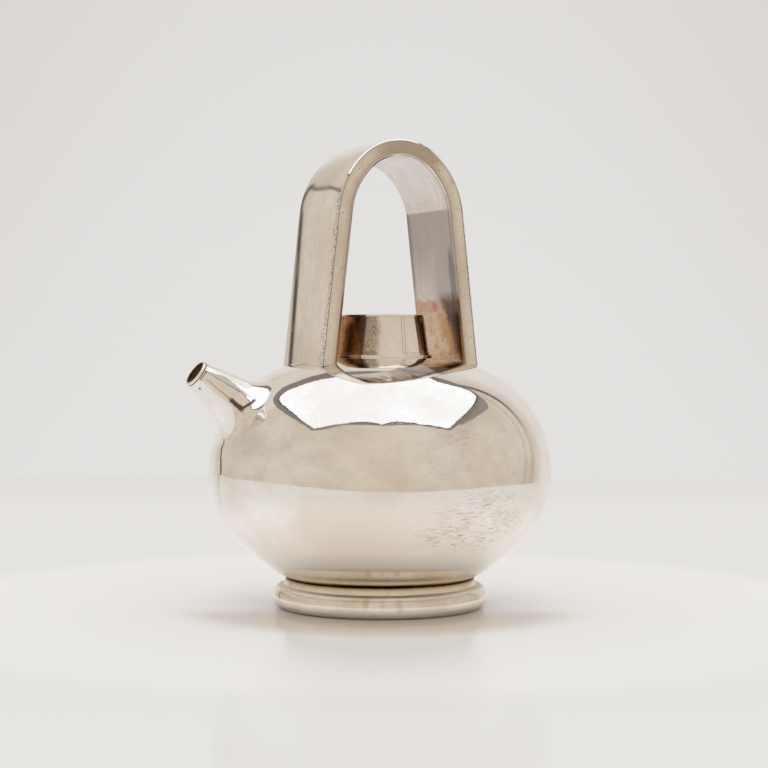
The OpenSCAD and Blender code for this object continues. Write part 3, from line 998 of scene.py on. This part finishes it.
spout_mesh.set_sharp_from_angle(angle=SHARP)
spout = new_object("spout_tube", spout_mesh)
finish_piece(spout, "pot", "pot_silver", "spout")

# %% Spout lip
lip_silver = silver("lip_silver", pits=0.3, dents=0.0)
lip = lathe("mouth_ring", [(bore_r, SPOUT_LEN), (bore_r, lip_s)]
            + arc((MOUTH_R + LIP_OUT - LIP_H / 2, lip_s + LIP_H / 2), LIP_H / 2,
                  -pi / 2, pi / 2, radians(10)), lip_silver, 128)
lip.data.transform(to_spout)
finish_piece(lip, "pot", "pot_silver", "spout_lip")

# %% [markdown]
# ## The strap handle
# The strap is a hollow box: two bent bands with their edges showing as thin bright lines, and a
# narrow plate let in between them at the front and the back. The path is half a crown arc, a
# haunch arc and a straight leg, mirrored. The feet are slid along the legs until every point
# lies on the shoulder, as a smith files them to fit.

# %% Strap path
CROWN_OUTER = 0.025
HAUNCH_OUTER = 0.0352
CROWN_ANGLE = radians(47)
LEG_LEAN = radians(6.4)
STRAP_T = 0.0069
SHEET = 0.0009
FOOT_SINK = 0.0001
FOOT_ZONE = 0.0015
strap_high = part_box("handle_outer_band")[1]
strap_half = strap_high.y
crown_centre = Vector((0, strap_high.z - CROWN_OUTER))
haunch_centre = crown_centre - (HAUNCH_OUTER - CROWN_OUTER) * Vector((cos(CROWN_ANGLE),
                                                                      sin(CROWN_ANGLE)))
leg_down = Vector((sin(LEG_LEAN), -cos(LEG_LEAN)))
haunch_end = haunch_centre + HAUNCH_OUTER * Vector((cos(LEG_LEAN), sin(LEG_LEAN)))


def leg_length(start):
    """How far a leg's line runs from a point before it meets the shoulder at mid width."""
    length = 0.0
    for _ in range(20):
        end = start + length * leg_down
        length += end.y - shoulder_z(hypot(end.x, strap_half / 2))
    return length


leg_foot = haunch_end + leg_length(haunch_end) * leg_down
right_half = (straight(tuple(leg_foot), tuple(haunch_end), 0.003)
              + arc(haunch_centre, HAUNCH_OUTER, LEG_LEAN, CROWN_ANGLE, radians(1))[:-1]
              + arc(crown_centre, CROWN_OUTER, CROWN_ANGLE, pi / 2, radians(1)))
arch_path = [(-x, 0, z) for x, z in right_half] + [(x, 0, z) for x, z in right_half[-2::-1]]
along = [0.0]
for start, end in zip(arch_path, arch_path[1:]):
    along.append(along[-1] + (Vector(end) - Vector(start)).length)
strap_line = chain("strap_line", arch_path, False, {"along": along})

# %% Strap bender
def fit_feet(piece):
    """Slides each leg's end along the leg until it lies just inside the shoulder's surface."""
    low = leg_foot.y + FOOT_ZONE
    for vertex in piece.data.vertices:
        if vertex.co.z < low:
            way = Vector((leg_down.x if vertex.co.x > 0 else -leg_down.x, 0, leg_down.y))
            for _ in range(12):
                gap = vertex.co.z - shoulder_z(hypot(vertex.co.x, vertex.co.y)) + FOOT_SINK
                vertex.co += way * gap


def strap(name, section, material):
    """Bends a section of (distance from the middle to the rear, height over the path)."""
    outline = chain(name, section, True, {"height": [h for _, h in section]})
    piece = run_tree(outline, strap_tree, path=strap_line, sharp_angle=SHARP, material=material)
    fit_feet(piece)
    return piece


def sheet_section(roll, width, edge=0.0005, step=0.0008, inner_cut=0.0001):
    """A band's section: its face rolls off by a little, and its edges are filed at 45 degrees."""
    half = strap_half

    def face(y):
        past = max(0, abs(y) - (half - width)) / width
        return -roll * past ** 2

    count = ceil(2 * (half - edge) / step)
    ys = [(half - edge) * (2 * i / count - 1) for i in range(count + 1)]
    low = face(half - edge) - edge
    right_end = [(half, low), (half, inner_cut - SHEET), (half - inner_cut, -SHEET)]
    return ([(y, face(y)) for y in ys] + right_end
            + [(-y, h) for y, h in reversed(right_end)])


# %% [markdown]
# ## The strap's marks
# The outer band has only streaks, and pits along one edge. The inner band is where cloths
# seldom reach: a mauve film on the legs, then warm, orange and dark brown tarnish near the lid.
# Points carry their height over the path, so a line can follow the joint between the sheets.

# %% Strap marks
FRONT = (0, -1, 0)


def strap_marks(own_marks, lines_at=()):
    """Streaks along the strap, dark lines at some heights across its edge, and own marks."""
    def marks(g):
        height = g.label("height")
        grain = g.add("ShaderNodeCombineXYZ", {0: g.label("along") * 0.08, 1: height,
                                               2: g.dot(g.place, (0, 1, 0))}).outputs[0]
        streak = g.step(g.noise(grain, 1400, 3.0, 0.6), 0.42, 0.7)
        g.colour = g.mix(streak * 0.35, g.colour, linear(212, 204, 196))
        for level, width, strength in lines_at:
            away = abs(height - level)
            g.stain(g.step(away, width, width * 0.4), strength, DARK, 0.4)
        own_marks(g)
    return marks


def outer_marks(g):
    """Pits, crowded along the front edge of the spout-side leg."""
    spread = g.cloud(150, 4.0, 0.6) * 0.006 + g.dot(g.place, FRONT)
    crowd = g.step(spread, 0.0195, 0.0222) * g.step(g.height, 0.172, 0.160)
    g.stain(g.step(g.cells(1500), 0.5, 0.25) * crowd, 0.8, PIT, 0.4)


def inner_marks(g):
    """Film and tarnish inside the arch, by height and by distance to the front."""
    height = g.height
    forward = g.dot(g.place, FRONT)
    ragged = g.cloud(330, 5.0, 0.65) - 0.5
    streak = g.cloud(420, 3.0, 0.6, (1, 1, 0.06))
    # a mauve film begins where the legs straighten, thick along the front edge
    legs = g.step(height, 0.1622, 0.1616)
    thick = g.larger(g.step(height, 0.126, 0.151, 0.35, 1.0), g.step(forward, -0.010, 0.006))
    thick *= g.step(streak, 0.2, 0.65, 0.8, 1.05)
    g.stain(legs * thick, 1.0, linear(198, 190, 192), 0.14)
    g.stain(1.0 - legs, g.step(streak, 0.3, 0.7, 0.45, 0.8), linear(214, 203, 196), 0.14)
    grey = g.blot((0.0235, -0.0172, 0.134), (0.006, 0.0032, 0.016), 0.6, 200)
    g.stain(grey, 0.75, linear(130, 130, 134), 0.2)
    # near the lid: warm and mottled at the back, with a rosy top edge
    edge = height + ragged * 0.005
    low = g.step(edge, 0.1262, 0.1238)
    g.stain(low, 0.9, linear(226, 196, 166), 0.2)
    mottle = g.step(g.cloud(240, 5.0, 0.7), 0.44, 0.66)
    g.stain(low * mottle, 0.6, linear(172, 124, 86), 0.25)
    top = g.window(height, 0.1205, 0.127, 0.0015)
    g.stain(low * top, 0.55, linear(206, 170, 150), 0.25)
    rose = g.blot((0.0254, 0.0015, 0.1225), (0.006, 0.0026, 0.0026), 0.5, 400)
    g.stain(rose, 0.7, linear(196, 136, 130), 0.25)
    # then orange, and dark brown to the front, on both sides of a slanting line
    across = forward + height * 0.57 - 0.0761 + ragged * 0.007
    amber = g.window(across, -0.0075, 0.002, 0.0032) * g.window(height, 0.1045, 0.1190, 0.002)
    g.stain(amber, 0.85, linear(210, 156, 104), 0.25)
    dark = g.step(across, -0.0022, 0.0024) * g.step(edge, 0.1300, 0.1235)
    tone = g.mix(g.step(height + ragged * 0.02, 0.116, 0.108),
                 linear(110, 88, 76), linear(150, 114, 82))
    g.stain(dark, 0.94, tone, 0.25)
    g.stain(dark * g.step(streak, 0.52, 0.62), 0.35, DARK, 0.35)
    g.stain(g.window(forward, strap_half - 0.0013, strap_half - 0.0007, 0.0002), 0.6, BROWN, 0.3)


def plate_marks(g):
    """A warmer inner half, a dull crown and brown spots."""
    inward = g.step(g.label("height"), -0.45 * STRAP_T, -0.8 * STRAP_T, 0.0, 0.6)
    g.stain(inward, 1.0, linear(206, 190, 172), 0.14)
    crown = g.blot((0.006, -0.02, 0.187), (0.022, 0.006, 0.012), 0.8, 160)
    g.stain(crown, 0.85, linear(188, 172, 152), 0.2)
    spot = g.step(g.cells(700), 0.24, 0.12) * g.step(g.cloud(90), 0.5, 0.62)
    g.stain(spot, 0.7, BROWN, 0.3)


# %% Strap pieces
OUTER_ROLL, OUTER_ROLL_WIDTH = 0.0003, 0.012
INNER_ROLL, INNER_ROLL_WIDTH = 0.0001, 0.004
PLATE_INSET = 0.00012
PLATE_ROWS = 14
outer_silver = silver("outer_silver", roughness=0.05, dents=0.0, marks=strap_marks(outer_marks))
inner_silver = silver("inner_silver", roughness=0.10, dents=0.0, marks=strap_marks(inner_marks))
plate_silver = silver("plate_silver", clean=linear(243, 236, 224), cloudy=linear(226, 214, 199),
                      roughness=0.10, dents=0.1, pits=0.4, marks=strap_marks(
                          plate_marks, [(-SHEET, 0.0003, 0.8), (SHEET - STRAP_T, 0.0006, 0.7)]))
outer_band = strap("strap_outer", sheet_section(OUTER_ROLL, OUTER_ROLL_WIDTH), outer_silver)
finish_piece(outer_band, "pot", "handle_silver", "handle_outer_band")
inner_section = [(y, -STRAP_T - h) for y, h in sheet_section(INNER_ROLL, INNER_ROLL_WIDTH)]
inner_band = strap("strap_inner", inner_section, inner_silver)
finish_piece(inner_band, "pot", "handle_silver", "handle_inner_band")
for name, node, sign in (("strap_front_plate", "handle_front_plate", -1),
                         ("strap_rear_plate", "handle_rear_plate", 1)):
    low_y, high_y = sorted((sign * (strap_half - PLATE_INSET), sign * (strap_half - SHEET)))
    heights = [SHEET - STRAP_T + (STRAP_T - 2 * SHEET) * i / PLATE_ROWS
               for i in range(PLATE_ROWS + 1)]
    section = [(low_y, h) for h in reversed(heights)] + [(high_y, h) for h in heights]
    plate = strap(name, section, plate_silver)
    hammer(plate, 0.00002, 0.012, 6)
    finish_piece(plate, "pot", "handle_silver", node)
bpy.data.objects.remove(strap_line)

# %% [markdown]
# ## The lid
# The lid is a low drum that narrows upwards, with a slightly domed disc let into its top and a
# thin ring at its foot. It has no knob: the fingers take the drum itself between the legs.

# %% Lid sizes
LID_T = 0.0009
LID_TAPER = 0.0038
LID_LIP = 0.0003
LID_DOME = 0.0008
LID_TURNS = 224
DISC_EDGE = 0.0006
BEZEL_T = 0.0009
base_low, base_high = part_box("lid_base")
lid_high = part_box("lid_top")[1].z
lid_foot_r = base_high.x - LID_LIP
lid_top_r = lid_foot_r - LID_TAPER / 2
dome_r = (lid_top_r ** 2 + LID_DOME ** 2) / (2 * LID_DOME)
dome_c = lid_high - dome_r
dome_a = acos(lid_top_r / dome_r)


def under_dome(r):
    """Height of the disc's underside at distance r from the lid's axis."""
    return dome_c + sqrt((dome_r - LID_T) ** 2 - r ** 2)


drum_top = under_dome(lid_top_r)
LID_MIDDLE_R = (lid_foot_r + lid_top_r) / 2
LID_SPECKS = (lid_high - 0.0068, base_high.z + 0.0022)

# %% [markdown]
# ## The lid's marks
# Fingers and cloths reach the front of the lid. Its sides, which stand close to the legs, keep a
# grey film with brown and orange tarnish, and gold specks where the film has flaked.

# %% Lid marks
# angles round the lid between which the stains lie
SEAM_LINES = (27.5, 31.5)
GREY_PART = (-170, -3)
BROWN_PART = (-150, -25)
ORANGE_PART = (-78, -52)
LEG_STRIPE = (68, 120)


def lid_marks(g):
    """Tarnish by swing, the angle round the lid from the camera's side, in degrees."""
    swing = g.math("ARCTAN2", g.dot(g.place, right), g.dot(g.place, -ahead)) * (180 / pi)
    fine = g.cloud(700, 5.0, 0.7)
    # the disc on top is handled more and stays clean
    low = g.step(g.height, drum_top + 0.0004, drum_top)
    # the wall's solder seam
    wall = low * g.step(g.height, base_low.z, base_high.z)
    for degrees in SEAM_LINES:
        seam = g.window(swing, degrees - 0.6, degrees + 0.6, 0.5) * wall
        g.stain(seam, 0.35, BROWN, 0.2)
    swing += (g.cloud(330, 4.0, 0.65) - 0.5) * 12.0
    # a grey film, mottled brown further round and orange where the wall meets its foot
    film = g.window(swing, *GREY_PART, 5) * g.step(fine, 0.3, 0.6, 1.0, 0.8) * low
    g.stain(film, 1.0, linear(162, 148, 136), 0.15)
    tone = g.mix(g.step(fine, 0.42, 0.62), linear(160, 144, 128), linear(208, 178, 142))
    g.stain(g.window(swing, *BROWN_PART, 4) * low, 0.95, tone, 0.2)
    orange = g.window(swing, *ORANGE_PART, 4) * g.step(g.height, 0.1180, 0.1130)
    orange *= g.step(fine, 0.36, 0.5, 0.35, 1.0)
    g.stain(orange, 0.9, linear(222, 178, 132), 0.25)
    # two swarms of gold specks, by degrees, height and reach
    cells = g.cells(1500)
    for degrees, up, reach in ((-6, LID_SPECKS[0], 0.0026), (-15, LID_SPECKS[1], 0.0034)):
        side_way, toward = LID_MIDDLE_R * sin(radians(degrees)), LID_MIDDLE_R * cos(radians(degrees))
        patch = g.blot(studio_point(side_way, toward, up), (reach,) * 3, 0.9, 300)
        g.stain(patch, 0.4, linear(140, 112, 72), 0.3)
        g.stain(g.step(cells, 0.46, 0.3) * patch, 0.95, linear(250, 226, 176), 0.3)
    # a brown stripe where the other leg stands close, and brown spots all round
    g.stain(g.window(swing, *LEG_STRIPE, 1.5) * low, 0.95, linear(104, 72, 48), 0.2)
    spot = g.step(cells, 0.2, 0.1) * g.step(g.cloud(160), 0.5, 0.62)
    g.stain(spot, 0.6, BROWN, 0.3)


# %% Lid pieces
lid_silver = silver("lid_silver", clean=linear(250, 246, 244), cloudy=linear(238, 229, 218),
                    roughness=0.07, pits=0.4, dents=0.1, marks=lid_marks)
drum = lathe("lid_drum", rounded([
    (lid_foot_r - LID_T, base_high.z), (lid_foot_r, base_high.z), (lid_top_r, drum_top),
    (lid_top_r - LID_T, drum_top)]), lid_silver, LID_TURNS)
hammer(drum, 0.00004, 0.012, 7)
finish_piece(drum, "lid", "lid_silver", "lid_wall")
disc = lathe("lid_disc", straight((0, lid_high - LID_T), (lid_top_r, drum_top), 0.002)
             + [(lid_top_r, drum_top), (lid_top_r, drum_top + DISC_EDGE)]
             + arc((0, dome_c), dome_r, dome_a, pi / 2, radians(0.5)),
             lid_silver, LID_TURNS, False)
finish_piece(disc, "lid", "lid_silver", "lid_top")
bezel_low, bezel_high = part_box("lid_bezel")
foot_ring = ring("lid_foot_ring", bezel_high.x - BEZEL_T, base_high.x, base_low.z, base_high.z,
                 lid_silver, LID_TURNS)
finish_piece(foot_ring, "lid", "lid_silver", "lid_base")
bezel = ring("lid_tube", bezel_high.x - BEZEL_T, bezel_high.x, bezel_low.z, bezel_high.z,
             inside_silver)
finish_piece(bezel, "lid", "inside_silver", "lid_bezel")

# %% [markdown]
# ## What stays from the solids
# The strainer's pierced patch is seen only through the mouth or the neck, so its solid stays,
# with the dull finish that the inside of a teapot has.

# %% Strainer
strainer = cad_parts["strainer"]
strainer.data.materials.clear()
strainer.data.materials.append(inside_silver)
